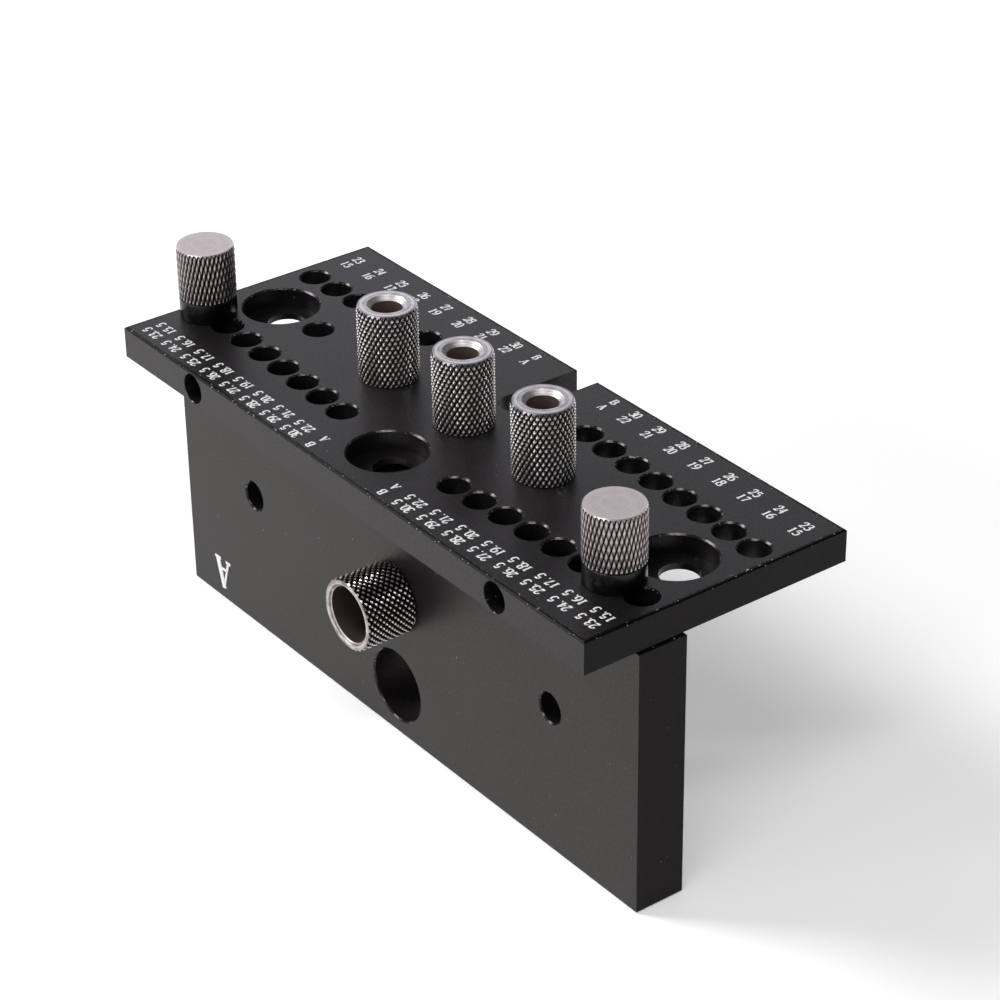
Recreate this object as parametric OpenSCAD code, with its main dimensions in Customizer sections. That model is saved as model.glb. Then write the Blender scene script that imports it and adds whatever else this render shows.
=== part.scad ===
// Dowel jig: a drilled top plate bolted to an upright fence, with screw-in drill bushes.
//
// Frame: millimetres, +Z up. The origin is on the middle drill bush's axis, at the top
// plate's underside. +X runs along the plate to the right, +Y away from the fence.
// The top plate's underside and the fence's back face are the two faces set on the board.

/* [Top plate] */
// Length of the top plate
plate_l = 194; // [180:1:240]
// Width of the top plate, front to back
plate_w = 78.4; // [74:0.2:110]
// Thickness of the top plate
plate_t = 9; // [8:0.5:14]
// Chamfer along the edges of both plates
plate_edge = 0.35; // [0.1:0.05:0.4]

/* [Numbered rows] */
// Bore of the numbered holes
row_bore = 8; // [7:0.1:8.6]
// Distance from the middle of the plate to the first hole of each half row
row_start = 23.5; // [22:0.5:26]
// Spacing of the holes along the plate
row_pitch = 9.5; // [9.2:0.1:11]
// Step of each hole towards the centre line, half of a one millimetre step in board thickness
row_step = 0.5; // [0.25:0.05:0.6]
// Distance from the centre line to the first hole of the front row
front_row = 20.45; // [20:0.05:22]
// Distance from the centre line to the first hole of the back row
back_row = 20.2; // [20:0.05:22]
// Least distance from the last hole's centre to the end of the plate
row_margin = 6.5; // [5.5:0.5:12]
// Chamfer at the mouth of the drilled holes
mouth = 0.4; // [0.2:0.05:0.45]

/* [Sight slot] */
// Width of the slot in the back edge
slot_w = 8.8; // [6:0.2:12]
// Distance from the centre line to the centre of the slot's round end
slot_end = 16; // [15:0.5:20]

/* [Clamp seats] */
// Diameter of the recess that takes a clamp pad
seat_bore = 20.5; // [16:0.1:22]
// Depth of the recess
seat_depth = 5.3; // [3:0.1:5.5]
// Thickness of the web under the recess
seat_web = 1.7; // [1:0.1:2.4]
// Diameter of the hole through the web
seat_hole = 10; // [8:0.5:14]
// How far the hole in the web sits behind the middle of the recess
seat_hole_back = 1.4; // [0:0.1:2]
// Distance from the end of the plate to the centre of an end seat
seat_end = 15.5; // [14:0.5:20]
// Distance from the front edge to the centre of the middle seat
seat_front = 15.9; // [13:0.1:18]

/* [Pin holes] */
// Bore of the pin holes
pin_bore = 8; // [5:0.1:8.2]
// Distance of the pin holes in the top plate from its middle, twice the bush spacing
pin_x = 64; // [56:1:66]
// Distance of the pin holes in the fence from its middle
fence_pin_x = 63.4; // [40:0.1:80]
// Depth of the pin holes in the front edge
edge_pin_depth = 12; // [6:0.5:14]
// Height of the pin holes in the front edge, above the underside
edge_pin_z = 4.5; // [4.4:0.05:4.6]
// Chamfer at the mouth of the pin holes in the front edge
edge_pin_mouth = 0.12; // [0.05:0.01:0.12]

/* [Drill bushes] */
// Spacing of the drill bushes along the centre line
bush_spacing = 32; // [30:0.5:34]
// Outside diameter of the knurled body
bush_d = 15.8; // [14:0.1:20]
// Height of the knurled body above the plate
bush_h = 20.2; // [10:0.1:30]
// Bore that guides the drill
bush_bore = 8; // [4:0.1:9]
// Diameter of the threaded shank
bush_shank = 12; // [11:0.1:13]
// Width of the lead-in cone at the top of the bore
bush_lead = 1.15; // [0.5:0.05:1.3]
// Chamfer round the knurled body's ends
bush_rim = 0.45; // [0.2:0.05:0.6]
// Height of the steep chamfer at the knurled body's top
bush_taper = 1; // [0.6:0.1:2]

/* [Cam bush] */
// Outside diameter of the knurled body
cam_d = 19.4; // [19:0.1:24]
// Length of the knurled body in front of the fence
cam_h = 14.3; // [8:0.1:15]
// Bore that guides the cam drill
cam_bore = 15; // [10:0.1:15.6]
// Diameter of the threaded shank
cam_shank = 18; // [17.2:0.1:18.4]
// Depth of the bush's axis below the top plate
cam_drop = 32.1; // [30:0.1:36]
// Width of the lead-in cone at the mouth of the bore
cam_lead = 0.7; // [0.3:0.05:0.9]

/* [Fence] */
// Height of the fence below the top plate
fence_h = 73; // [72:0.5:110]
// Thickness of the fence
fence_t = 14; // [12:0.5:20]
// How much shorter the fence is than the top plate
fence_short = 1.3; // [0:0.1:6]
// How far the fence sits to the right of the plate's middle
fence_shift = 1.25; // [-1.5:0.05:1.5]
// Distance from the fence's front face to its row of tapped holes
fence_row = 6.6; // [5:0.1:7.5]
// Bore of the large hole
large_bore = 20; // [12:0.5:22]
// Height of the large hole's axis above the fence's lower edge
large_rise = 14.1; // [12.5:0.1:17]

/* [Thumb screws] */
// Diameter of the knurled head
head_d = 15.4; // [12:0.1:17]
// Height of the knurled head
head_h = 14.4; // [8:0.1:20]
// Chamfer round the head's ends
head_rim = 0.35; // [0.2:0.05:0.6]
// Height of the steep chamfer at the head's top
head_taper = 0.7; // [0.6:0.1:1.5]
// Diameter of the collar under the head
collar_d = 15.2; // [12:0.1:16.6]
// Height of the collar
collar_h = 5.8; // [3:0.1:8]
// Diameter of the threaded shank
stud_d = 6; // [5:0.1:6.4]
// Length of thread in the fence
stud_reach = 8; // [5:0.5:10]
// Depth of a tapped hole beyond the end of its screw
tap_extra = 3; // [1:0.5:4]
// Hole that holds the left screw, counted inwards from the end of the row
left_setting = 0; // [0:1:2]
// Hole that holds the right screw, counted inwards from the end of the row
right_setting = 1; // [0:1:2]

/* [Threads and fits] */
// Radial clearance of a screw in its hole
thread_fit = 0.05; // [0.02:0.01:0.1]
// Length of the undercut where a shank meets its shoulder
undercut_l = 1.2; // [0.6:0.1:1.6]
// Depth of the undercut
undercut = 0.5; // [0.2:0.05:0.6]
// Chamfer at the end of a shank
shank_tip = 0.6; // [0.3:0.05:0.8]
// Facets of a full turn
smooth = 64; // [32:8:96]

/* [Hidden] */

plate_black = "#38363a";
collar_black = "#101012";
bush_steel = "#b9b4b6";
screw_steel = "#9c9492";

// A cut runs this far past the face that it opens.
over = 1;

// Plate: its front edge, and how many holes each half row has room for.
front_y = -plate_w / 2;
row_count = floor((plate_l / 2 - row_margin - row_start) / row_pitch) + 1;
row_x = [for (k = [0:row_count - 1]) row_start + k * row_pitch];
front_y_of = [for (k = [0:row_count - 1]) -(front_row - k * row_step)];
back_y_of = [for (k = [0:row_count - 1]) back_row - k * row_step];
sides = [-1, 1];

// Screws: the hole that each one stands in, and the line midway between the two,
// where the fence's own straight row of tapped holes lies.
left_k = row_count - 1 - left_setting;
right_k = row_count - 1 - right_setting;
stud_y = (front_y_of[left_k] + front_y_of[right_k]) / 2;
stud_l = plate_t + stud_reach;
tap_depth = stud_reach + tap_extra;

// Fence: its faces and its middle.
fence_l = plate_l - fence_short;
fence_front = stud_y - fence_row;
fence_back = fence_front + fence_t;

// Seats and pin holes in the top plate.
seat_x = plate_l / 2 - seat_end;
seat_y = front_y + seat_front;
seat_places = [[-seat_x, 0], [seat_x, 0], [0, seat_y]];

// A block with every edge along X and Y chamfered: low corner at [x, y, z].
module chamfered_block(size, edge) {
    long_edges = [[edge, 0], [size[1] - edge, 0], [size[1], edge], [size[1], size[2] - edge],
                  [size[1] - edge, size[2]], [edge, size[2]], [0, size[2] - edge], [0, edge]];
    short_edges = [[edge, 0], [size[0] - edge, 0], [size[0], edge], [size[0], size[2] - edge],
                   [size[0] - edge, size[2]], [edge, size[2]], [0, size[2] - edge], [0, edge]];
    intersection() {
        rotate([90, 0, 90])
            linear_extrude(size[0])
                polygon(long_edges);
        translate([0, size[1], 0])
            rotate([90, 0, 0])
                linear_extrude(size[1])
                    polygon(short_edges);
    }
}

// A hole down from z = 0 through a wall, with a chamfer at each mouth.
module drilled(bore, wall, edge) {
    translate([0, 0, -wall - over])
        cylinder(d = bore, h = wall + 2 * over, $fn = smooth);
    translate([0, 0, -edge])
        cylinder(d1 = bore, d2 = bore + 2 * (edge + over), h = edge + over, $fn = smooth);
    translate([0, 0, -wall - over])
        cylinder(d1 = bore + 2 * (edge + over), d2 = bore, h = edge + over, $fn = smooth);
}

// A blind hole down from z = 0, with a chamfer at its mouth and a drill point's cone.
module blind(bore, depth, edge) {
    translate([0, 0, -depth])
        cylinder(d = bore, h = depth + over, $fn = smooth);
    translate([0, 0, -edge])
        cylinder(d1 = bore, d2 = bore + 2 * (edge + over), h = edge + over, $fn = smooth);
    translate([0, 0, -depth - bore * 0.3])
        cylinder(d1 = 0, d2 = bore, h = bore * 0.3, $fn = smooth);
}

// One side of a clamp seat down from z = 0: a flat recess with a chamfer at its mouth.
module recess(depth) {
    translate([0, 0, -depth])
        cylinder(d = seat_bore, h = depth + over, $fn = smooth);
    translate([0, 0, -mouth])
        cylinder(d1 = seat_bore, d2 = seat_bore + 2 * (mouth + over), h = mouth + over, $fn = smooth);
}

// A clamp seat down from z = 0: a recess from above and a shallower one from below, and
// the smaller hole through the web between them.
module seat(wall) {
    translate([0, seat_hole_back, 0])
        drilled(seat_hole, wall, mouth);
    recess(seat_depth);
    translate([0, 0, -wall])
        mirror([0, 0, 1])
            recess(wall - seat_depth - seat_web);
}

// The sight slot, from its round end out through the back edge.
module sight_slot() {
    translate([0, slot_end, -over])
        cylinder(d = slot_w, h = plate_t + 2 * over, $fn = smooth);
    translate([-slot_w / 2, slot_end, -over])
        cube([slot_w, plate_w / 2 - slot_end + over, plate_t + 2 * over]);
}

// Every numbered hole of one row, as cuts from the plate's top.
module numbered_row(row_y) {
    for (side = sides)
        for (k = [0:row_count - 1])
            translate([side * row_x[k], row_y[k], plate_t])
                drilled(row_bore, plate_t, mouth);
}

module top_plate() {
    color(plate_black)
        difference() {
            translate([-plate_l / 2, front_y, 0])
                chamfered_block([plate_l, plate_w, plate_t], plate_edge);
            numbered_row(front_y_of);
            numbered_row(back_y_of);
            for (place = seat_places)
                translate([place[0], place[1], plate_t])
                    seat(plate_t);
            for (side = sides) {
                translate([side * pin_x, 0, plate_t])
                    drilled(pin_bore, plate_t, mouth);
                translate([side * pin_x, front_y, edge_pin_z])
                    rotate([90, 0, 0])
                        blind(pin_bore, edge_pin_depth, edge_pin_mouth);
            }
            for (i = [-1:1])
                translate([i * bush_spacing, 0, plate_t])
                    drilled(bush_shank + 2 * thread_fit, plate_t, mouth);
            sight_slot();
        }
}

module fence_plate() {
    color(plate_black)
        difference() {
            translate([fence_shift - fence_l / 2, fence_front, -fence_h])
                chamfered_block([fence_l, fence_t, fence_h], plate_edge);
            // Holes from face to face, their mouths on the front face.
            translate([fence_shift, fence_front, 0])
                rotate([90, 0, 0]) {
                    translate([0, -cam_drop, 0])
                        drilled(cam_shank + 2 * thread_fit, fence_t, mouth);
                    translate([0, large_rise - fence_h, 0])
                        drilled(large_bore, fence_t, mouth);
                    for (side = sides)
                        translate([side * fence_pin_x, -cam_drop, 0])
                            drilled(pin_bore, fence_t, mouth);
                }
            // The straight row of tapped holes, one under each hole of the front row.
            for (side = sides)
                for (x = row_x)
                    translate([side * x, stud_y, 0])
                        blind(stud_d + 2 * thread_fit, tap_depth, mouth);
        }
}

// Half outline of a bush, from its bore out: body above z = 0, shank below.
function bush_outline(body_d, body_h, bore, shank, shank_l, lead, taper) = [
    [bore / 2, -shank_l],
    [shank / 2 - shank_tip, -shank_l],
    [shank / 2, -shank_l + shank_tip],
    [shank / 2, -undercut_l],
    [shank / 2 - undercut, -undercut_l],
    [shank / 2 - undercut, 0],
    [body_d / 2 - bush_rim, 0],
    [body_d / 2, bush_rim],
    [body_d / 2, body_h - taper],
    [body_d / 2 - bush_rim, body_h],
    [bore / 2 + lead, body_h],
    [bore / 2, body_h - lead]];

module drill_bush(i) {
    color(bush_steel)
        translate([i * bush_spacing, 0, plate_t])
            rotate_extrude($fn = smooth)
                polygon(bush_outline(bush_d, bush_h, bush_bore, bush_shank, plate_t, bush_lead, bush_taper));
}

module drill_bush_left() {
    drill_bush(-1);
}

module drill_bush_centre() {
    drill_bush(0);
}

module drill_bush_right() {
    drill_bush(1);
}

module cam_bush() {
    color(bush_steel)
        translate([fence_shift, fence_front, -cam_drop])
            rotate([90, 0, 0])
                rotate_extrude($fn = smooth)
                    polygon(bush_outline(cam_d, cam_h, cam_bore, cam_shank, fence_t, cam_lead, bush_rim));
}

// A ring that stands on the plate, with both rims chamfered.
module collar(x) {
    hole_r = stud_d / 2 + thread_fit;
    color(collar_black)
        translate([x, stud_y, plate_t])
            rotate_extrude($fn = smooth)
                polygon([
                    [hole_r, 0],
                    [collar_d / 2 - head_rim, 0],
                    [collar_d / 2, head_rim],
                    [collar_d / 2, collar_h - head_rim],
                    [collar_d / 2 - head_rim, collar_h],
                    [hole_r, collar_h]]);
}

// Knurled head on top of the collar, and the threaded shank down into the fence.
module thumb_screw(x) {
    tip_z = -collar_h - stud_l;
    color(screw_steel)
        translate([x, stud_y, plate_t + collar_h])
            rotate_extrude($fn = smooth)
                polygon([
                    [0, tip_z],
                    [stud_d / 2 - shank_tip, tip_z],
                    [stud_d / 2, tip_z + shank_tip],
                    [stud_d / 2, -undercut_l],
                    [stud_d / 2 - undercut, -undercut_l],
                    [stud_d / 2 - undercut, 0],
                    [head_d / 2 - head_rim, 0],
                    [head_d / 2, head_rim],
                    [head_d / 2, head_h - head_taper],
                    [head_d / 2 - head_rim, head_h],
                    [0, head_h]]);
}

module collar_left() {
    collar(-row_x[left_k]);
}

module collar_right() {
    collar(row_x[right_k]);
}

module thumb_screw_left() {
    thumb_screw(-row_x[left_k]);
}

module thumb_screw_right() {
    thumb_screw(row_x[right_k]);
}

top_plate();
fence_plate();
drill_bush_left();
drill_bush_centre();
drill_bush_right();
cam_bush();
collar_left();
collar_right();
thumb_screw_left();
thumb_screw_right();
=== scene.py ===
import math
import bmesh
import bpy
from mathutils import Matrix, Vector


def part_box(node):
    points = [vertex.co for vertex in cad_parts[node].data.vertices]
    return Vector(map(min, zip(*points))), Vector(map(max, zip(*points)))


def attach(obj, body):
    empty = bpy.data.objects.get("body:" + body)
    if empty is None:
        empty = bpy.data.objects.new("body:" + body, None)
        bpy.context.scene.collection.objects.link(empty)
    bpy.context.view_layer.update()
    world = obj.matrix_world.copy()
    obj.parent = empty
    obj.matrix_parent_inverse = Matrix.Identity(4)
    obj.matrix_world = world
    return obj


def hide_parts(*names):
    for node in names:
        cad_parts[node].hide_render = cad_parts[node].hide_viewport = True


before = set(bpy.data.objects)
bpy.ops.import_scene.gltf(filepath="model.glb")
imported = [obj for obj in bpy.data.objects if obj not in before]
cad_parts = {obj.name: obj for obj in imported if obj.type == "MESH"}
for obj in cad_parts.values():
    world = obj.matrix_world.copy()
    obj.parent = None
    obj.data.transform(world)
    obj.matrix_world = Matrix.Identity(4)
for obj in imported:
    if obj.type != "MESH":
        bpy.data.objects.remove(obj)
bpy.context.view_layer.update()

# Camera.
# The jig was photographed from the right of its front, from about 0.8 m away and 30 degrees
# up, with a long lens held almost level.
camera_place = Vector((0.55503, -0.40418, 0.38932))
camera_sight = Vector((-0.69078, 0.51643, -0.50608))
camera_tilt = math.radians(-0.83)
camera_lens = 113.9
camera_data = bpy.data.cameras.new("camera")
camera_data.lens = camera_lens
camera_data.sensor_width = 36.0
camera_data.clip_start = 0.05
camera = bpy.data.objects.new("camera", camera_data)
camera_turn = (camera_sight.to_track_quat("-Z", "Y").to_matrix()
               @ Matrix.Rotation(camera_tilt, 3, "Z"))
camera.matrix_world = Matrix.Translation(camera_place) @ camera_turn.to_4x4()
bpy.context.scene.collection.objects.link(camera)
bpy.context.scene.camera = camera

# Top plate and fence.
# Two bars of aluminium, sawn, drilled and chamfered, then blasted with fine beads and
# anodised black, which leaves a satin, slightly grainy skin that is thin on sharp edges.
MM = 0.001


def linear(code):
    """The linear colour of an sRGB hex code."""
    parts = [int(code[i:i + 2], 16) / 255 for i in (1, 3, 5)]
    return [c / 12.92 if c <= 0.04045 else ((c + 0.055) / 1.055) ** 2.4 for c in parts] + [1.0]


def add_node(tree, kind, settings=None, links=None):
    """A new shader node with its settings and the links into it."""
    node = tree.nodes.new(kind)
    for name, value in (settings or {}).items():
        if isinstance(name, int) or name in node.inputs:
            node.inputs[name].default_value = value
        else:
            setattr(node, name, value)
    for name, source in (links or {}).items():
        tree.links.new(source, node.inputs[name])
    return node


def start_material(name):
    """A new material, its node tree and its shader."""
    material = bpy.data.materials.new(name)
    material.use_nodes = True
    return material, material.node_tree, material.node_tree.nodes["Principled BSDF"]


plate_edge = 0.35 * MM
cloud_size = 30 * MM
grain_size = 0.7 * MM
fleck_size = 0.8 * MM
chatter_size = 0.9 * MM
pit_depth = 0.03 * MM
ragged_reach = 1.4 * MM
edge_band = plate_edge - 0.1 * MM
upper_band = 0.5 * MM
sawn_skin = 0.05 * MM
wear_and_glints_above = 0.66
bare_above = 0.7
dusty_above = 0.8
edge_shine = 0.12
sawn_shine = 0.16
# The cosine between a hole's axis and its chamfered mouth, and how far it may be off.
mouth_slant = 0.7
slant_spread = 0.15


def anodised_plate(node, drilled_along, tint):
    """Black anodised, bead-blasted aluminium: a dark satin skin that hardly mirrors anything."""
    low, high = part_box(node)
    material, tree, shader = start_material("anodised_aluminium_" + node)
    shader.inputs["IOR"].default_value = 1.42
    place = add_node(tree, "ShaderNodeTexCoord").outputs["Object"]

    # Cloudy differences in the dye, and the blasted grain, which is drawn coarser than the
    # real beads' pits, so that it shows at all.
    cloud = add_node(tree, "ShaderNodeTexNoise", {"Scale": 1 / cloud_size, "Detail": 2.0},
                     {"Vector": place})
    grain = add_node(tree, "ShaderNodeTexNoise", {"Scale": 1 / grain_size, "Detail": 3.0},
                     {"Vector": place})
    dye = add_node(tree, "ShaderNodeMix", {"data_type": "RGBA", 6: linear("#0e0d10"),
                                           7: linear("#161418")}, {0: cloud.outputs["Fac"]})
    grain_shade = add_node(tree, "ShaderNodeMapRange", {"From Min": 0.25, "From Max": 0.75,
                                                        "To Min": 0.6, "To Max": 1.4},
                           {"Value": grain.outputs["Fac"]})
    skin = add_node(tree, "ShaderNodeMix", {"data_type": "RGBA", "blend_type": "MULTIPLY", 0: 1.0},
                    {6: dye.outputs[2], 7: grain_shade.outputs["Result"]})

    # How far a point lies inside the plate's outer faces: two of the three distances are
    # small only on the chamfers.
    centre = (low + high) / 2
    half = (high - low) / 2
    from_centre = add_node(tree, "ShaderNodeVectorMath", {"operation": "SUBTRACT", 1: centre},
                           {0: place})
    outward = add_node(tree, "ShaderNodeVectorMath", {"operation": "ABSOLUTE"},
                       {0: from_centre.outputs["Vector"]})
    inside = add_node(tree, "ShaderNodeVectorMath", {"operation": "SUBTRACT", 0: half},
                      {1: outward.outputs["Vector"]})
    away = add_node(tree, "ShaderNodeSeparateXYZ", {}, {0: inside.outputs["Vector"]}).outputs
    lesser = add_node(tree, "ShaderNodeMath", {"operation": "MINIMUM"}, {0: away[0], 1: away[1]})
    greater = add_node(tree, "ShaderNodeMath", {"operation": "MAXIMUM"}, {0: away[0], 1: away[1]})
    second = add_node(tree, "ShaderNodeMath", {"operation": "MINIMUM"},
                      {0: greater.outputs[0], 1: away[2]})
    middle = add_node(tree, "ShaderNodeMath", {"operation": "MAXIMUM"},
                      {0: lesser.outputs[0], 1: second.outputs[0]})

    # Upper edges: a ragged band painted darker and duller, a painted dark reflection, where now
    # and then a fleck of bare metal shows. A few specks of dust lie on the flat faces.
    fleck = add_node(tree, "ShaderNodeTexNoise", {"Scale": 1 / fleck_size, "Detail": 1.0},
                     {"Vector": place}).outputs["Fac"]
    ragged = add_node(tree, "ShaderNodeMath", {"operation": "MULTIPLY_ADD", 1: -ragged_reach},
                      {0: fleck, 2: middle.outputs[0]})
    near_edge = add_node(tree, "ShaderNodeMath", {"operation": "LESS_THAN", 1: edge_band},
                         {0: ragged.outputs[0]})
    height = add_node(tree, "ShaderNodeSeparateXYZ", {}, {0: place}).outputs[2]
    upper = add_node(tree, "ShaderNodeMath", {"operation": "GREATER_THAN", 1: high.z - upper_band},
                     {0: height})
    on_edge = add_node(tree, "ShaderNodeMath", {"operation": "MULTIPLY"},
                       {0: near_edge.outputs[0], 1: upper.outputs[0]})
    # The mouth of a drilled hole was cut after blasting: smoother and chattered, and light here
    # and there, partly bare worn metal and partly painted glints.
    facing = add_node(tree, "ShaderNodeSeparateXYZ", {},
                      {0: add_node(tree, "ShaderNodeNewGeometry").outputs["True Normal"]})
    upright = add_node(tree, "ShaderNodeMath", {"operation": "ABSOLUTE"},
                       {0: facing.outputs[drilled_along]})
    aslant = add_node(tree, "ShaderNodeMath",
                      {"operation": "COMPARE", 1: mouth_slant, 2: slant_spread},
                      {0: upright.outputs[0]})
    on_mouth = add_node(tree, "ShaderNodeMath", {"operation": "SUBTRACT", "use_clamp": True},
                        {0: aslant.outputs[0], 1: on_edge.outputs[0]})
    wear_and_glints = add_node(tree, "ShaderNodeMath", {"operation": "GREATER_THAN", 1: wear_and_glints_above},
                    {0: fleck})
    mouth_wear_and_glints = add_node(tree, "ShaderNodeMath", {"operation": "MULTIPLY"},
                          {0: wear_and_glints.outputs[0], 1: on_mouth.outputs[0]})
    bare = add_node(tree, "ShaderNodeMath", {"operation": "GREATER_THAN", 1: bare_above},
                    {0: fleck})
    # The edge band's near-black is a painted dark reflection; its light flecks are bare metal.
    edge = add_node(tree, "ShaderNodeMix", {"data_type": "RGBA", 6: linear("#060607"),
                                            7: linear("#949194")}, {0: bare.outputs[0]})
    dusty = add_node(tree, "ShaderNodeMath", {"operation": "GREATER_THAN", 1: dusty_above},
                     {0: fleck})
    dusted = add_node(tree, "ShaderNodeMix", {"data_type": "RGBA", 7: linear("#6f6d71")},
                      {0: dusty.outputs[0], 6: skin.outputs[2]})
    # Light flecks on the mouths: partly bare worn metal, partly painted glints.
    drilled = add_node(tree, "ShaderNodeMix", {"data_type": "RGBA", 7: linear("#77747a")},
                       {0: mouth_wear_and_glints.outputs[0], 6: dusted.outputs[2]})
    colour = add_node(tree, "ShaderNodeMix", {"data_type": "RGBA"},
                      {0: on_edge.outputs[0], 6: drilled.outputs[2], 7: edge.outputs[2]})
    tree.links.new(colour.outputs[2], shader.inputs["Base Color"])
    shine = add_node(tree, "ShaderNodeMapRange", {"From Min": 0.25, "From Max": 0.75,
                                                  "To Min": 0.4, "To Max": 0.6},
                     {"Value": grain.outputs["Fac"]})
    # The low shine on the edge band is part of the same painted dark reflection.
    shone = add_node(tree, "ShaderNodeMix", {"data_type": "FLOAT", 3: edge_shine},
                     {0: on_edge.outputs[0], 2: shine.outputs["Result"]})
    # The sawn ends mirror least: painted shade that keeps the end faces dark.
    on_end = add_node(tree, "ShaderNodeMath", {"operation": "LESS_THAN", 1: sawn_skin},
                      {0: away[0]})
    dulled = add_node(tree, "ShaderNodeMix", {"data_type": "FLOAT", 3: sawn_shine},
                      {0: on_end.outputs[0], 2: shone.outputs[0]})
    tree.links.new(dulled.outputs[0], shader.inputs["Specular IOR Level"])
    shader.inputs["Specular Tint"].default_value = linear(tint)

    chatter = add_node(tree, "ShaderNodeTexNoise", {"Scale": 1 / chatter_size, "Detail": 2.0},
                       {"Vector": place})
    relief = add_node(tree, "ShaderNodeMix", {"data_type": "FLOAT"},
                      {0: on_mouth.outputs[0], 2: grain.outputs["Fac"], 3: chatter.outputs["Fac"]})
    bump = add_node(tree, "ShaderNodeBump", {"Strength": 0.8, "Distance": pit_depth},
                    {"Height": relief.outputs[0]})
    tree.links.new(bump.outputs["Normal"], shader.inputs["Normal"])
    gloss = add_node(tree, "ShaderNodeMapRange", {"To Min": 0.4, "To Max": 0.24},
                     {"Value": on_mouth.outputs[0]})
    tree.links.new(gloss.outputs["Result"], shader.inputs["Roughness"])
    return material


for plate_node, drilled_along, tint in (("top_plate", 2, "#fff2f0"), ("fence_plate", 1, "#ffe8e0")):
    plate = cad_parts[plate_node]
    plate.data.materials.clear()
    plate.data.materials.append(anodised_plate(plate_node, drilled_along, tint))

# Drill bushes.
# Three bushes of hardened steel, turned on a lathe with a lead-in cone and bright
# chamfers, rolled with a sharp diamond knurl, and screwed down into the plate.
bush_bore = 8.0 * MM
bush_shank = 12.0 * MM
bush_lead = 1.15 * MM
bush_rim = 0.45 * MM
bush_taper = 1.0 * MM
knurl_depth = 0.5 * MM
knurl_cross = 0.75 * knurl_depth
knurl_over = 0.05 * MM
knurl_row = 1.24 * MM
bush_starts = 34
thread_pitch = 1.0 * MM
thread_depth = 0.55 * MM
thread_over = 0.5 * MM
crest_start = 0.45
crest_end = 0.55
# How far the knurled and threaded bars that a turned piece is cut with reach past its ends.
overrun = 1.0 * MM
shank_tip = 0.6 * MM
turning_feed = 0.35 * MM
# Facets round a turned face, and round one turn of a thread.
turned_steps = 96
thread_steps = 48
crease_angle = math.radians(15)


def outline_edges(bm, points, closed):
    """Vertices at (radius, height) points in the XZ plane, joined in order by edges."""
    verts = [bm.verts.new((r, 0, z)) for r, z in points]
    pairs = list(zip(verts, verts[1:])) + ([(verts[-1], verts[0])] if closed else [])
    return verts + [bm.edges.new(pair) for pair in pairs]


def turned(points, closed=True):
    """A solid of revolution about Z from its half outline."""
    bm = bmesh.new()
    bmesh.ops.spin(bm, geom=outline_edges(bm, points, closed), axis=(0, 0, 1), cent=(0, 0, 0),
                   dvec=(0, 0, 0), angle=2 * math.pi, steps=turned_steps, use_merge=True)
    bmesh.ops.remove_doubles(bm, verts=bm.verts, dist=0.001 * MM)
    bmesh.ops.recalc_face_normals(bm, faces=bm.faces)
    return bm


def close_ends(bm):
    """Caps the open ends of a bar and turns its faces outwards."""
    bmesh.ops.holes_fill(bm, edges=[e for e in bm.edges if e.is_boundary], sides=0)
    bmesh.ops.recalc_face_normals(bm, faces=bm.faces)
    return bm


def knurled_bar(radius, low, high, starts, row, depth, cross_depth):
    """A bar with a diamond knurl: peaks and crossings of grooves take turns round and along.

    One knurling wheel cut to the full depth, the other only to cross_depth on its ridges."""
    columns = 2 * starts
    rows = math.ceil((high - low) / row)
    bm = bmesh.new()
    heights = [(radius, low + k * row) for k in range(rows + 1)]
    bmesh.ops.spin(bm, geom=outline_edges(bm, heights, False), axis=(0, 0, 1), cent=(0, 0, 0),
                   dvec=(0, 0, 0), angle=2 * math.pi, steps=columns, use_merge=True)
    corners = len(bm.verts)
    bmesh.ops.poke(bm, faces=bm.faces)
    for k, vert in enumerate(bm.verts):
        half = 0 if k < corners else 0.5
        column = round(math.atan2(vert.co.y, vert.co.x) / (2 * math.pi) * columns - half)
        odd = (column + round((vert.co.z - low) / row - half)) % 2
        cut = (depth if odd else 0) if k < corners else (depth if odd else cross_depth)
        vert.co.xy *= (radius - cut) / vert.co.xy.length
    return close_ends(bm)


def threaded_bar(radius, low, high, pitch, depth):
    """A bar with a V thread, cut square at both ends."""
    turns = math.ceil((high - low) / pitch) + 2
    start = low - pitch
    crest = [(radius - depth, start), (radius, start + crest_start * pitch),
             (radius, start + crest_end * pitch), (radius - depth, start + pitch)]
    bm = bmesh.new()
    bmesh.ops.spin(bm, geom=outline_edges(bm, crest, False), axis=(0, 0, 1), cent=(0, 0, 0),
                   dvec=(0, 0, pitch / thread_steps), angle=2 * math.pi * turns,
                   steps=thread_steps * turns)
    bmesh.ops.remove_doubles(bm, verts=bm.verts, dist=0.002 * MM)
    for height, side in ((low, -1), (high, 1)):
        bmesh.ops.bisect_plane(bm, geom=bm.verts[:] + bm.edges[:] + bm.faces[:],
                               plane_co=(0, 0, height), plane_no=(0, 0, side), clear_outer=True)
    return close_ends(bm)


def to_mesh(bm):
    """The bmesh as a mesh, and the bmesh freed."""
    mesh = bpy.data.meshes.new("piece")
    bm.to_mesh(mesh)
    bm.free()
    return mesh


def combined(first, second, operation):
    """One mesh from two closed ones, by union or intersection."""
    body = bpy.data.objects.new("body", first)
    tool = bpy.data.objects.new("tool", second)
    for part in (body, tool):
        bpy.context.scene.collection.objects.link(part)
    cut = body.modifiers.new("cut", "BOOLEAN")
    cut.operation = operation
    cut.object = tool
    cut.solver = "EXACT"
    evaluated = body.evaluated_get(bpy.context.evaluated_depsgraph_get())
    mesh = bpy.data.meshes.new_from_object(evaluated)
    for part in (body, tool):
        bpy.data.objects.remove(part)
    return mesh


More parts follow.
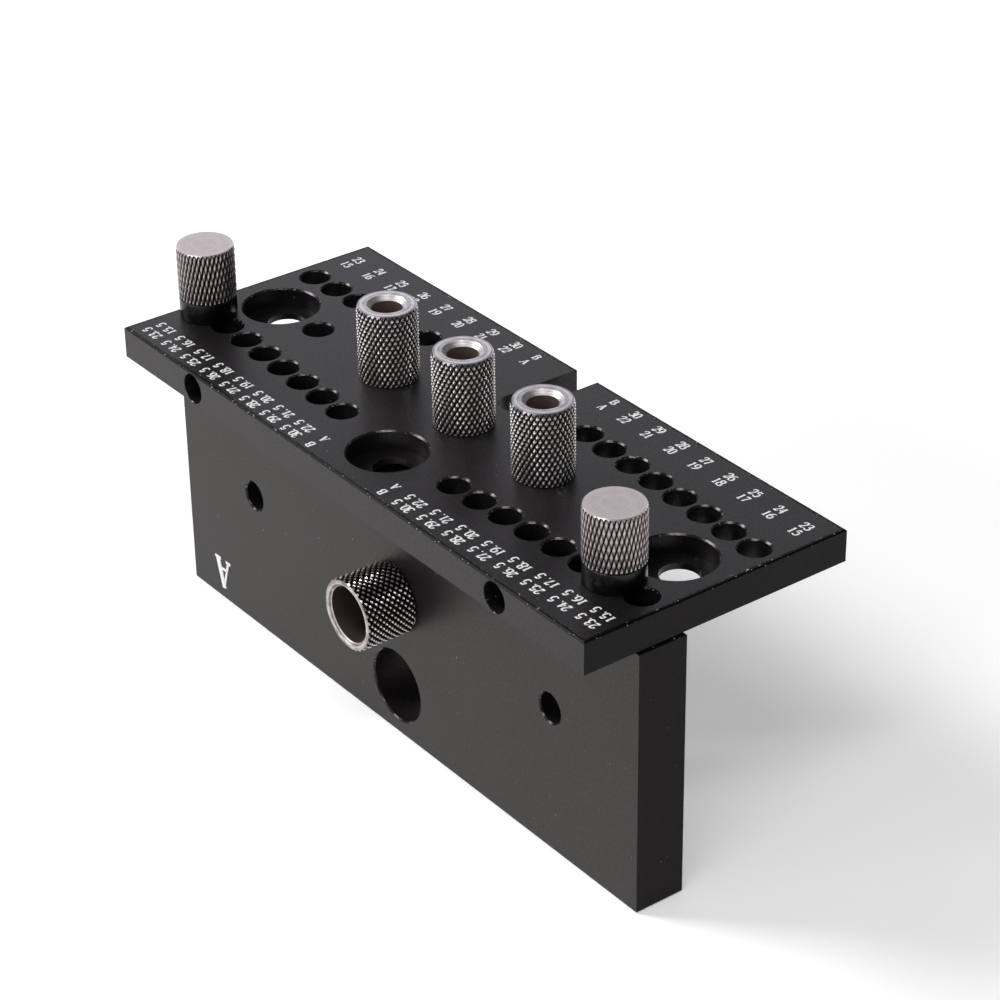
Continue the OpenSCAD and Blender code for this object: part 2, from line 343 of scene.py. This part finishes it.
def keep_turning_place(mesh):
    """Remembers each point's place on the lathe, so that turning marks follow the piece."""
    lathe = mesh.attributes.new("lathe", "FLOAT_VECTOR", "POINT")
    for vert in mesh.vertices:
        lathe.data[vert.index].vector = vert.co


def placed(name, mesh, place, material, node, body):
    """A piece at its place in the frame, which stands for a CAD node and rides on its body."""
    mesh = mesh.copy()
    mesh.transform(place)
    mesh.materials.clear()
    mesh.materials.append(material)
    mesh.shade_smooth()
    mesh.set_sharp_from_angle(angle=crease_angle)
    piece = bpy.data.objects.new(name, mesh)
    bpy.context.scene.collection.objects.link(piece)
    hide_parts(node)
    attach(piece, body)


soil_size = 2.5 * MM
ring_width = 0.8 * MM
mark_depth = 0.01 * MM
# Shares of the knurl's depth for its painted shade: below the first it is black, above the second
# bright.
groove_shade_full_below = 0.8
groove_shade_none_above = 0.15
face_margin = 0.03 * MM
bore_margin = 0.04 * MM
groove_margin = 0.2 * MM
end_spread = 0.06
cone_roughness = 0.32


def turned_steel(name, bright, dull, crest, in_bore, roughness, end_roughness, marking, shape):
    """Hardened steel: bright where it was turned, a darker brown in its bore, and painted shade in
    the knurl's grooves.

    The shape is the bore's radius, the cone's width, the outer radius, the knurl's depth,
    the width and height of the outer chamfer, and the height of the outer end."""
    bore, lead, outside, depth, rim, taper, face = shape
    material, tree, shader = start_material(name)
    lathe = add_node(tree, "ShaderNodeAttribute", {"attribute_name": "lathe"}).outputs["Vector"]
    axes = add_node(tree, "ShaderNodeSeparateXYZ", {}, {0: lathe}).outputs
    flat = add_node(tree, "ShaderNodeCombineXYZ", {}, {0: axes[0], 1: axes[1]})
    radius = add_node(tree, "ShaderNodeVectorMath", {"operation": "LENGTH"},
                      {0: flat.outputs[0]}).outputs["Value"]
    along = add_node(tree, "ShaderNodeMath", {"operation": "ADD"}, {0: radius, 1: axes[2]})
    marks = add_node(tree, "ShaderNodeTexNoise",
                     {"noise_dimensions": "1D", "Scale": 1 / turning_feed, "Detail": 2.0},
                     {"W": along.outputs[0]})
    soil = add_node(tree, "ShaderNodeTexNoise", {"Scale": 1 / soil_size, "Detail": 3.0},
                    {"Vector": lathe})
    # Broader rings, a little under a millimetre wide, are where the tool dwelt.
    rings = add_node(tree, "ShaderNodeTexNoise",
                     {"noise_dimensions": "1D", "Scale": 1 / ring_width, "Detail": 1.0},
                     {"W": along.outputs[0]})
    worked = add_node(tree, "ShaderNodeMath", {"operation": "ADD"},
                      {0: soil.outputs["Fac"], 1: rings.outputs["Fac"]})
    share = add_node(tree, "ShaderNodeMapRange", {"From Min": 0.75, "From Max": 1.25},
                     {"Value": worked.outputs[0]})
    tone = add_node(tree, "ShaderNodeMix",
                    {"data_type": "RGBA", 6: linear(bright), 7: linear(dull)},
                    {0: share.outputs["Result"]})

    # Painted shade: black at the bottom of a groove, fading to the crest colour.
    # Inside the bore, a darker brown.
    # The knurl is cut away from the chamfer, the outer end and all that lies inside it.
    groove_shade_ramp = add_node(tree, "ShaderNodeMapRange",
                             {"interpolation_type": "SMOOTHSTEP",
                              "From Min": outside - depth * groove_shade_full_below,
                              "From Max": outside - depth * groove_shade_none_above}, {"Value": radius})
    chamfer = add_node(tree, "ShaderNodeMath", {"operation": "MULTIPLY_ADD", 1: rim / taper},
                       {0: axes[2], 2: radius})
    chamfer_from = outside - rim + face * rim / taper - face_margin
    on_chamfer = add_node(tree, "ShaderNodeMath", {"operation": "GREATER_THAN", 1: chamfer_from},
                          {0: chamfer.outputs[0]})
    on_face = add_node(tree, "ShaderNodeMath", {"operation": "GREATER_THAN", 1: face - face_margin},
                       {0: axes[2]})
    within = add_node(tree, "ShaderNodeMath",
                      {"operation": "LESS_THAN", 1: outside - depth - groove_margin}, {0: radius})
    outer = add_node(tree, "ShaderNodeMath", {"operation": "MAXIMUM"},
                     {0: on_chamfer.outputs[0], 1: on_face.outputs[0]})
    plain = add_node(tree, "ShaderNodeMath", {"operation": "MAXIMUM"},
                     {0: outer.outputs[0], 1: within.outputs[0]})
    # Painted shade: the knurl's colour runs from near-black in the grooves to the crest colour.
    rolled = add_node(tree, "ShaderNodeMix",
                      {"data_type": "RGBA", 6: linear("#0a0908"), 7: linear(crest)},
                      {0: groove_shade_ramp.outputs["Result"]})
    knurl_shaded = add_node(tree, "ShaderNodeMix", {"data_type": "RGBA"},
                      {0: plain.outputs[0], 6: rolled.outputs[2], 7: tone.outputs[2]})
    bored = add_node(tree, "ShaderNodeMath", {"operation": "LESS_THAN", 1: bore + bore_margin},
                     {0: radius})
    colour = add_node(tree, "ShaderNodeMix", {"data_type": "RGBA", 7: linear(in_bore)},
                      {0: bored.outputs[0], 6: knurl_shaded.outputs[2]})
    tree.links.new(colour.outputs[2], shader.inputs["Base Color"])

    # The tool left the flat end rougher than the rolled knurl, and the cone and bore more so.
    gloss = add_node(tree, "ShaderNodeMapRange", {"From Min": 0.3, "From Max": 0.7,
                                                  "To Min": end_roughness - end_spread,
                                                  "To Max": end_roughness + end_spread},
                     {"Value": marks.outputs["Fac"]})
    in_cone = add_node(tree, "ShaderNodeMath",
                       {"operation": "LESS_THAN", 1: bore + lead - bore_margin}, {0: radius})
    rough = add_node(tree, "ShaderNodeMix", {"data_type": "FLOAT", 2: roughness},
                     {0: on_face.outputs[0], 3: gloss.outputs["Result"]})
    rougher = add_node(tree, "ShaderNodeMath", {"operation": "MULTIPLY_ADD", 1: cone_roughness},
                       {0: in_cone.outputs[0], 2: rough.outputs[0]})
    tree.links.new(rougher.outputs[0], shader.inputs["Roughness"])
    bump = add_node(tree, "ShaderNodeBump", {"Strength": marking, "Distance": mark_depth},
                    {"Height": marks.outputs["Fac"]})
    tree.links.new(bump.outputs["Normal"], shader.inputs["Normal"])
    shader.inputs["Metallic"].default_value = 1.0
    return material


def screwed_bush(node, bore, shank, lead, taper, starts, row, along):
    """The mesh of a knurled, threaded bush about its own axis, its seat at 0, and its sizes."""
    low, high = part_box(node)
    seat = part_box("top_plate")[1].z if along == 2 else -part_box("fence_plate")[0].y
    ends = (low.z, high.z) if along == 2 else (-high.y, -low.y)
    body_radius = (high.x - low.x) / 2
    bottom = ends[0] - seat
    top = ends[1] - seat
    outline = [(bore / 2, bottom), (shank / 2 - shank_tip, bottom), (shank / 2, bottom + shank_tip),
               (shank / 2, 0), (body_radius - bush_rim, 0), (body_radius, bush_rim),
               (body_radius, top - taper), (body_radius - bush_rim, top), (bore / 2 + lead, top),
               (bore / 2, top - lead)]
    knurl = knurled_bar(body_radius + knurl_over, 0, top + overrun, starts, row, knurl_depth,
                        knurl_cross)
    thread = threaded_bar(shank / 2, bottom - overrun, thread_over, thread_pitch, thread_depth)
    tool = combined(to_mesh(knurl), to_mesh(thread), "UNION")
    mesh = combined(to_mesh(turned(outline)), tool, "INTERSECT")
    keep_turning_place(mesh)
    return mesh, body_radius, top, seat


bush_mesh, bush_radius, bush_top, bush_seat = screwed_bush(
    "drill_bush_centre", bush_bore, bush_shank, bush_lead, bush_taper, bush_starts, knurl_row, 2)
bush_shape = (bush_bore / 2, bush_lead, bush_radius, knurl_depth, bush_rim, bush_taper, bush_top)
bush_steel = turned_steel("hardened_turned_steel", "#eae4e5", "#a09a9c", "#f5efee", "#988b82",
                          0.22, 0.36, 0.15, bush_shape)
for side in ("left", "centre", "right"):
    bush_low, bush_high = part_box("drill_bush_" + side)
    bush_place = Matrix.Translation(((bush_low.x + bush_high.x) / 2, (bush_low.y + bush_high.y) / 2,
                                     bush_seat))
    placed("knurled_drill_bush_" + side, bush_mesh, bush_place, bush_steel, "drill_bush_" + side,
           "bush_" + side)

# Cam bush.
# The wide bush in the fence guides a cam drill. It is turned like the drill bushes, with a
# thin bright rim round a dark bore, but its knurl is rolled at a steeper slant.
cam_bore = 15.0 * MM
cam_shank = 18.0 * MM
cam_lead = 0.7 * MM
cam_starts = 30
cam_row = 0.87 * MM
cam_groove = 0.83 * knurl_depth
cam_mesh, cam_radius, cam_top, cam_seat = screwed_bush(
    "cam_bush", cam_bore, cam_shank, cam_lead, bush_rim, cam_starts, cam_row, 1)
cam_shape = (cam_bore / 2, cam_lead, cam_radius, cam_groove, bush_rim, bush_rim, cam_top)
cam_steel = turned_steel("hardened_turned_steel_cam", "#d2cbc8", "#6c6562", "#dcd6d4", "#685e58",
                         0.22, 0.34, 0.3, cam_shape)
cam_low, cam_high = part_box("cam_bush")
cam_place = (Matrix.Translation(((cam_low.x + cam_high.x) / 2, -cam_seat,
                                 (cam_low.z + cam_high.z) / 2))
             @ Matrix.Rotation(math.radians(90), 4, "X"))
placed("knurled_cam_bush", cam_mesh, cam_place, cam_steel, "cam_bush", "bush_cam")

# Collars.
# A plain ring under each thumb screw, turned from aluminium and anodised glossy black,
# with its rims broken by a small radius.
collar_hole = 3.05 * MM
collar_round = 0.4 * MM
round_steps = 4
corner_angle = math.radians(60)


def glossy_black():
    """Black anodised aluminium left as turned: almost a mirror at a low angle."""
    material, tree, shader = start_material("anodised_aluminium_turned")
    lathe = add_node(tree, "ShaderNodeAttribute", {"attribute_name": "lathe"}).outputs["Vector"]
    marks = add_node(tree, "ShaderNodeTexNoise", {"Scale": 1 / (1.5 * MM), "Detail": 2.0},
                     {"Vector": lathe})
    tone = add_node(tree, "ShaderNodeMix", {"data_type": "RGBA", 6: linear("#040405"),
                                            7: linear("#080809")}, {0: marks.outputs["Fac"]})
    tree.links.new(tone.outputs[2], shader.inputs["Base Color"])
    gloss = add_node(tree, "ShaderNodeMapRange", {"To Min": 0.2, "To Max": 0.28},
                     {"Value": marks.outputs["Fac"]})
    tree.links.new(gloss.outputs["Result"], shader.inputs["Roughness"])
    shader.inputs["IOR"].default_value = 1.4
    return material


collar_finish = glossy_black()
for side in ("left", "right"):
    ring_low, ring_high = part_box("collar_" + side)
    ring_radius = (ring_high.x - ring_low.x) / 2
    ring_height = ring_high.z - ring_low.z
    ring = turned([(collar_hole, 0), (ring_radius, 0), (ring_radius, ring_height),
                   (collar_hole, ring_height)])
    corners = [e for e in ring.edges
               if len(e.link_faces) == 2 and e.calc_face_angle() > corner_angle]
    bmesh.ops.bevel(ring, geom=corners, offset=collar_round, offset_type="OFFSET",
                    segments=round_steps, profile=0.5, affect="EDGES", material=-1)
    ring_mesh = to_mesh(ring)
    keep_turning_place(ring_mesh)
    ring_place = Matrix.Translation(((ring_low.x + ring_high.x) / 2, (ring_low.y + ring_high.y) / 2,
                                     ring_low.z))
    placed("black_collar_" + side, ring_mesh, ring_place, collar_finish, "collar_" + side,
           "ring_" + side)

# Thumb screws.
# Steel screws with a tall head for the fingers, rolled with a fine, long diamond knurl,
# faced flat on top and left matt; the thread runs down through the plate into the fence.
head_rim = 0.35 * MM
head_taper = 0.7 * MM
head_starts = 40
head_row = 2.1 * MM
head_depth = 0.36 * MM
head_cross = 0.7 * head_depth
head_over = 0.03 * MM
stud_diameter = 6.0 * MM
stud_depth = 0.5 * MM
screw_low, screw_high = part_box("thumb_screw_left")
head_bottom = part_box("collar_left")[1].z
head_radius = (screw_high.x - screw_low.x) / 2
head_top = screw_high.z - head_bottom
stud_bottom = screw_low.z - head_bottom
screw_outline = [(0, stud_bottom), (stud_diameter / 2 - shank_tip, stud_bottom),
                 (stud_diameter / 2, stud_bottom + shank_tip), (stud_diameter / 2, 0),
                 (head_radius - head_rim, 0), (head_radius, head_rim),
                 (head_radius, head_top - head_taper), (head_radius - head_rim, head_top),
                 (0, head_top)]
head_knurl = knurled_bar(head_radius + head_over, 0, head_top + overrun, head_starts, head_row,
                         head_depth, head_cross)
stud_thread = threaded_bar(stud_diameter / 2, stud_bottom - overrun, thread_over, thread_pitch,
                           stud_depth)
screw_tool = combined(to_mesh(head_knurl), to_mesh(stud_thread), "UNION")
screw_mesh = combined(to_mesh(turned(screw_outline, closed=False)), screw_tool, "INTERSECT")
keep_turning_place(screw_mesh)
screw_shape = (0, 0, head_radius, head_depth, head_rim, head_taper, head_top)
screw_steel = turned_steel("matt_faced_steel", "#eae0e0", "#ded3d3", "#c0b5b2", "#cdc1c1",
                           0.34, 0.55, 0.04, screw_shape)
for side in ("left", "right"):
    screw_low, screw_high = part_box("thumb_screw_" + side)
    screw_place = Matrix.Translation(((screw_low.x + screw_high.x) / 2,
                                      (screw_low.y + screw_high.y) / 2, head_bottom))
    placed("knurled_thumb_screw_" + side, screw_mesh, screw_place, screw_steel,
           "thumb_screw_" + side, "screw_" + side)

# Numbers.
# Plain board thicknesses in millimetres beside each hole, and the letters of the two
# lines, filled with white after anodising, in an upright face with feet and thick stems.
digit_height = 2.55 * MM
mark_rise = 0.02 * MM
stroke_steps = 5

# Strokes of each sign on a grid one digit high: a list of (x, y, half width) points each.
# The half widths and the pitch of the signs are also in digit heights.
thick = 0.115
thin = 0.05
sign_pitch = 0.66
SIGNS = {
    "0": [[(0.28, 1.0, thin), (0.05, 0.95, thick), (0.05, 0.05, thick), (0.28, 0.0, thin),
           (0.51, 0.05, thick), (0.51, 0.95, thick), (0.28, 1.0, thin)]],
    "1": [[(0.28, 0.98, thick), (0.28, 0.02, thick)], [(0.1, 0.85, thin), (0.28, 0.96, thin)],
          [(0.1, 0.03, thin), (0.46, 0.03, thin)]],
    "2": [[(0.08, 0.72, thick), (0.12, 1.0, thin), (0.5, 1.04, thick), (0.52, 0.62, thick),
           (0.32, 0.36, thin), (0.08, 0.08, thin)],
          [(0.08, 0.07, thick), (0.46, 0.07, thick)], [(0.5, 0.06, thin), (0.53, 0.26, thin)]],
    "3": [[(0.08, 0.82, thin), (0.18, 1.04, thin), (0.5, 1.02, thick), (0.48, 0.58, thick),
           (0.22, 0.54, thin)],
          [(0.22, 0.54, thin), (0.58, 0.54, thick), (0.54, 0.02, thick), (0.2, -0.04, thin),
           (0.06, 0.14, thick)]],
    "4": [[(0.38, 1.0, thick), (0.38, 0.02, thick)], [(0.36, 0.97, thin), (0.04, 0.3, thin)],
          [(0.03, 0.3, thin * 1.5), (0.56, 0.3, thin * 1.5)],
          [(0.24, 0.03, thin), (0.52, 0.03, thin)]],
    "5": [[(0.16, 0.95, thick), (0.52, 0.95, thick)],
          [(0.14, 0.96, thick * 0.7), (0.12, 0.56, thick * 0.7)],
          [(0.12, 0.56, thin), (0.38, 0.7, thin), (0.58, 0.52, thick), (0.5, 0.02, thick),
           (0.18, -0.03, thin), (0.07, 0.12, thick)]],
    "6": [[(0.5, 0.98, thin), (0.2, 0.9, thick), (0.02, 0.5, thick), (0.08, 0.03, thick),
           (0.32, -0.03, thin), (0.54, 0.08, thick), (0.54, 0.5, thick), (0.32, 0.62, thin),
           (0.1, 0.46, thin)]],
    "7": [[(0.07, 0.93, thick), (0.52, 0.93, thick)], [(0.06, 0.94, thin), (0.05, 0.76, thin)],
          [(0.5, 0.92, thin), (0.3, 0.5, thick), (0.22, 0.0, thick)]],
    "8": [[(0.28, 0.54, thin), (0.06, 0.6, thick), (0.08, 1.0, thick), (0.28, 1.02, thin),
           (0.48, 1.0, thick), (0.5, 0.6, thick), (0.28, 0.54, thin)],
          [(0.28, 0.54, thin), (0.0, 0.46, thick), (0.02, 0.02, thick), (0.28, -0.02, thin),
           (0.54, 0.02, thick), (0.56, 0.46, thick), (0.28, 0.54, thin)]],
    "9": [[(0.06, 0.02, thin), (0.36, 0.1, thick), (0.54, 0.5, thick), (0.48, 0.97, thick),
           (0.24, 1.03, thin), (0.02, 0.92, thick), (0.02, 0.5, thick), (0.24, 0.38, thin),
           (0.46, 0.54, thin)]],
    ".": [[(0.1, 0.16, thick * 0.6), (0.1, 0.08, thick * 1.3), (0.1, 0.0, thick * 0.6)]],
    "A": [[(0.36, 0.98, thin), (0.08, 0.03, thin)], [(0.34, 0.98, thick), (0.62, 0.03, thick)],
          [(0.18, 0.34, thin), (0.52, 0.34, thin)], [(-0.04, 0.03, thin), (0.2, 0.03, thin)],
          [(0.46, 0.03, thin), (0.76, 0.03, thin)]],
    "B": [[(0.14, 0.98, thick), (0.14, 0.02, thick)], [(0.03, 0.97, thin), (0.32, 0.97, thin)],
          [(0.03, 0.03, thin), (0.34, 0.03, thin)], [(0.16, 0.53, thin), (0.32, 0.53, thin)],
          [(0.3, 0.97, thin), (0.56, 0.96, thick), (0.56, 0.56, thick), (0.3, 0.53, thin)],
          [(0.3, 0.53, thin), (0.62, 0.54, thick), (0.62, 0.02, thick), (0.3, 0.03, thin)]],
}


def sign_mesh(strokes):
    """A flat sign from its strokes, each a smooth curve that swells and thins."""
    curve = bpy.data.curves.new("sign", "CURVE")
    curve.dimensions = "3D"
    curve.bevel_depth = 1.0
    curve.bevel_resolution = 1
    curve.use_fill_caps = True
    for points in strokes:
        stroke = curve.splines.new("NURBS")
        stroke.points.add(len(points) - 1)
        for point, (x, y, half_width) in zip(stroke.points, points):
            point.co = (x, y, 0, 1)
            point.radius = half_width
        stroke.order_u = min(3, len(points))
        stroke.use_endpoint_u = True
        stroke.resolution_u = stroke_steps
    holder = bpy.data.objects.new("sign", curve)
    bpy.context.scene.collection.objects.link(holder)
    evaluated = holder.evaluated_get(bpy.context.evaluated_depsgraph_get())
    mesh = bpy.data.meshes.new_from_object(evaluated)
    bpy.data.objects.remove(holder)
    bpy.data.curves.remove(curve)
    mesh.transform(Matrix.Diagonal((1, 1, mark_rise / (digit_height * thick), 1)))
    return mesh


sign_meshes = {sign: sign_mesh(strokes) for sign, strokes in SIGNS.items()}


def add_word(bm, word, height, place):
    """Adds a word to a bmesh, centred on its place, which also turns and lays it."""
    for k, sign in enumerate(word):
        first = len(bm.verts)
        bm.from_mesh(sign_meshes[sign])
        bm.verts.ensure_lookup_table()
        spread = Matrix.Translation(((k - len(word) / 2) * sign_pitch, -0.5, 0))
        local = Matrix.Diagonal((height, height, height, 1)) @ spread
        bmesh.ops.transform(bm, matrix=place @ local, verts=bm.verts[first:])


def white_fill():
    """White paint in shallow engraving: flat white, a little uneven where it was wiped."""
    material, tree, shader = start_material("white_engraving_paint")
    place = add_node(tree, "ShaderNodeTexCoord").outputs["Object"]
    wiped = add_node(tree, "ShaderNodeTexNoise", {"Scale": 1 / (0.6 * MM), "Detail": 2.0},
                     {"Vector": place})
    tone = add_node(tree, "ShaderNodeMix", {"data_type": "RGBA", 6: linear("#ebeaec"),
                                            7: linear("#ffffff")}, {0: wiped.outputs["Fac"]})
    tree.links.new(tone.outputs[2], shader.inputs["Base Color"])
    shader.inputs["Roughness"].default_value = 0.6
    return material


white_paint = white_fill()


def mark_piece(name, bm):
    """The finished marks of one face, which ride with the jig."""
    mesh = to_mesh(bm)
    mesh.materials.append(white_paint)
    piece = bpy.data.objects.new(name, mesh)
    bpy.context.scene.collection.objects.link(piece)
    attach(piece, "jig")


plate_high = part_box("top_plate")[1]
row_first = 23.5 * MM
row_pitch = 9.5 * MM
row_count = 8
letter_x = 15.0 * MM
# Each half row of each edge has two lines of numbers: the letter, the distance of its
# inner end from the edge, how much nearer the middle its outer end is, and the least
# number. The rows were engraved a little aslant, each in its own way.
lines = {
    ("front", -1): [("A", 7.1 * MM, 1.2 * MM, 15.5), ("B", 3.0 * MM, 1.1 * MM, 23.5)],
    ("front", 1): [("A", 7.2 * MM, 3.4 * MM, 15.5), ("B", 3.4 * MM, 2.9 * MM, 23.5)],
    ("back", -1): [("A", 7.8 * MM, 3.5 * MM, 15), ("B", 4.0 * MM, 3.4 * MM, 23)],
    ("back", 1): [("A", 7.4 * MM, 2.7 * MM, 15), ("B", 3.5 * MM, 3.0 * MM, 23)],
}
row_shift = {("front", -1): 0.5 * MM, ("front", 1): 0.4 * MM,
             ("back", -1): -1.0 * MM, ("back", 1): 0.2 * MM}
for edge, toward in (("front", -1), ("back", 1)):
    turn = Matrix.Rotation(math.pi if edge == "front" else 0, 4, "Z")
    numbers = bmesh.new()
    for half_row in (-1, 1):
        for letter, from_edge, lean, smallest in lines[edge, half_row]:
            for k in range(-1, row_count):
                share = max(k, 0) / (row_count - 1)
                from_middle = row_first + k * row_pitch if k >= 0 else letter_x
                x = row_shift[edge, half_row] + half_row * from_middle
                y = toward * (plate_high.y - from_edge - lean * share)
                word = letter if k < 0 else f"{smallest + row_count - 1 - k:g}"
                add_word(numbers, word, digit_height,
                         Matrix.Translation((x, y, plate_high.z)) @ turn)
    mark_piece("numbers_" + edge, numbers)

# Letter on the fence.
# One larger letter near the fence's lower corner says which way up the fence is set,
# so it stands on its head here.
fence_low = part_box("fence_plate")[0]
fence_letter_height = 9.4 * MM
fence_letter_x = -80.2 * MM
fence_letter_z = -65.1 * MM
letter_on_fence = bmesh.new()
letter_place = (Matrix.Translation((fence_letter_x, fence_low.y, fence_letter_z))
                @ Matrix.Rotation(math.radians(90), 4, "X") @ Matrix.Rotation(math.pi, 4, "Z"))
add_word(letter_on_fence, "A", fence_letter_height, letter_place)
mark_piece("letter_on_fence", letter_on_fence)

# Studio.
# A white, plain floor under soft lamps. The broad one low behind the left end shines along
# the top plate, two more light the front, and two narrow ones draw bright lines on the steel.
floor_half = 4.0
floor_height = fence_low.z - 0.02 * MM
lift_least = 0.3
lift_from = 0.25
lift_full = 1.5
surround_strength = 0.15
floor_bm = bmesh.new()
bmesh.ops.create_grid(floor_bm, x_segments=1, y_segments=1, size=floor_half,
                      matrix=Matrix.Translation((0, 0, floor_height)))
floor = bpy.data.objects.new("floor", to_mesh(floor_bm))
bpy.context.scene.collection.objects.link(floor)


def studio_paper():
    """White paper: the camera and mirrors see it as white, and the shadow stays on it."""
    material, tree, shader = start_material("white_paper")
    shader.inputs["Base Color"].default_value = linear("#f7f7f7")
    shader.inputs["Roughness"].default_value = 0.9
    shader.inputs["Specular IOR Level"].default_value = 0.0
    path = add_node(tree, "ShaderNodeLightPath").outputs
    seen = add_node(tree, "ShaderNodeMath", {"operation": "MAXIMUM"},
                    {0: path["Is Camera Ray"], 1: path["Is Glossy Ray"]})
    shown = add_node(tree, "ShaderNodeMath", {"operation": "MAXIMUM"},
                     {0: seen.outputs[0], 1: path["Is Transmission Ray"]})
    # Far from the jig, where the lamps no longer reach, the paper is lifted all the way.
    place = add_node(tree, "ShaderNodeTexCoord").outputs["Object"]
    from_jig = add_node(tree, "ShaderNodeVectorMath", {"operation": "LENGTH"},
                        {0: place}).outputs["Value"]
    far = add_node(tree, "ShaderNodeMapRange", {"From Min": lift_from, "From Max": lift_full,
                                                "To Min": lift_least, "To Max": 1.0},
                   {"Value": from_jig})
    lift = add_node(tree, "ShaderNodeMath", {"operation": "MULTIPLY"},
                    {0: shown.outputs[0], 1: far.outputs["Result"]})
    tree.links.new(lift.outputs[0], shader.inputs["Emission Strength"])
    shader.inputs["Emission Color"].default_value = linear("#ffffff")
    return material


floor.data.materials.append(studio_paper())


def soft_lamp(name, place, width, height, power, colour="#ffffff"):
    """An oblong soft lamp that points at the middle of the jig."""
    lamp_data = bpy.data.lights.new(name, "AREA")
    lamp_data.shape = "RECTANGLE"
    lamp_data.size = width
    lamp_data.size_y = height
    lamp_data.energy = power
    lamp_data.color = linear(colour)[:3]
    lamp = bpy.data.objects.new(name, lamp_data)
    turn = (-place).to_track_quat("-Z", "Y").to_matrix().to_4x4()
    lamp.matrix_world = Matrix.Translation(place) @ turn
    bpy.context.scene.collection.objects.link(lamp)


soft_lamp("front_lamp", Vector((-0.32, -2.24, 0.88)), 0.96, 0.96, 7.0)
soft_lamp("left_lamp", Vector((-1.28, -0.96, 1.3)), 0.72, 0.72, 29.0)
soft_lamp("back_left_lamp", Vector((-1.12, 0.76, 0.43)), 1.4, 0.62, 3.6, "#f3f3ff")
soft_lamp("rim_lamp", Vector((0.45, -0.34, 0.95)), 0.5, 0.1, 3.0)
soft_lamp("strip_lamp", Vector((0.35, -1.1, 0.6)), 0.3, 0.1, 2.0)

world = bpy.data.worlds.new("surroundings")
world.use_nodes = True
bpy.context.scene.world = world
surround = world.node_tree.nodes["Background"]
surround.inputs["Color"].default_value = linear("#ffffff")
surround.inputs["Strength"].default_value = surround_strength

bpy.context.scene.view_settings.view_transform = "Standard"
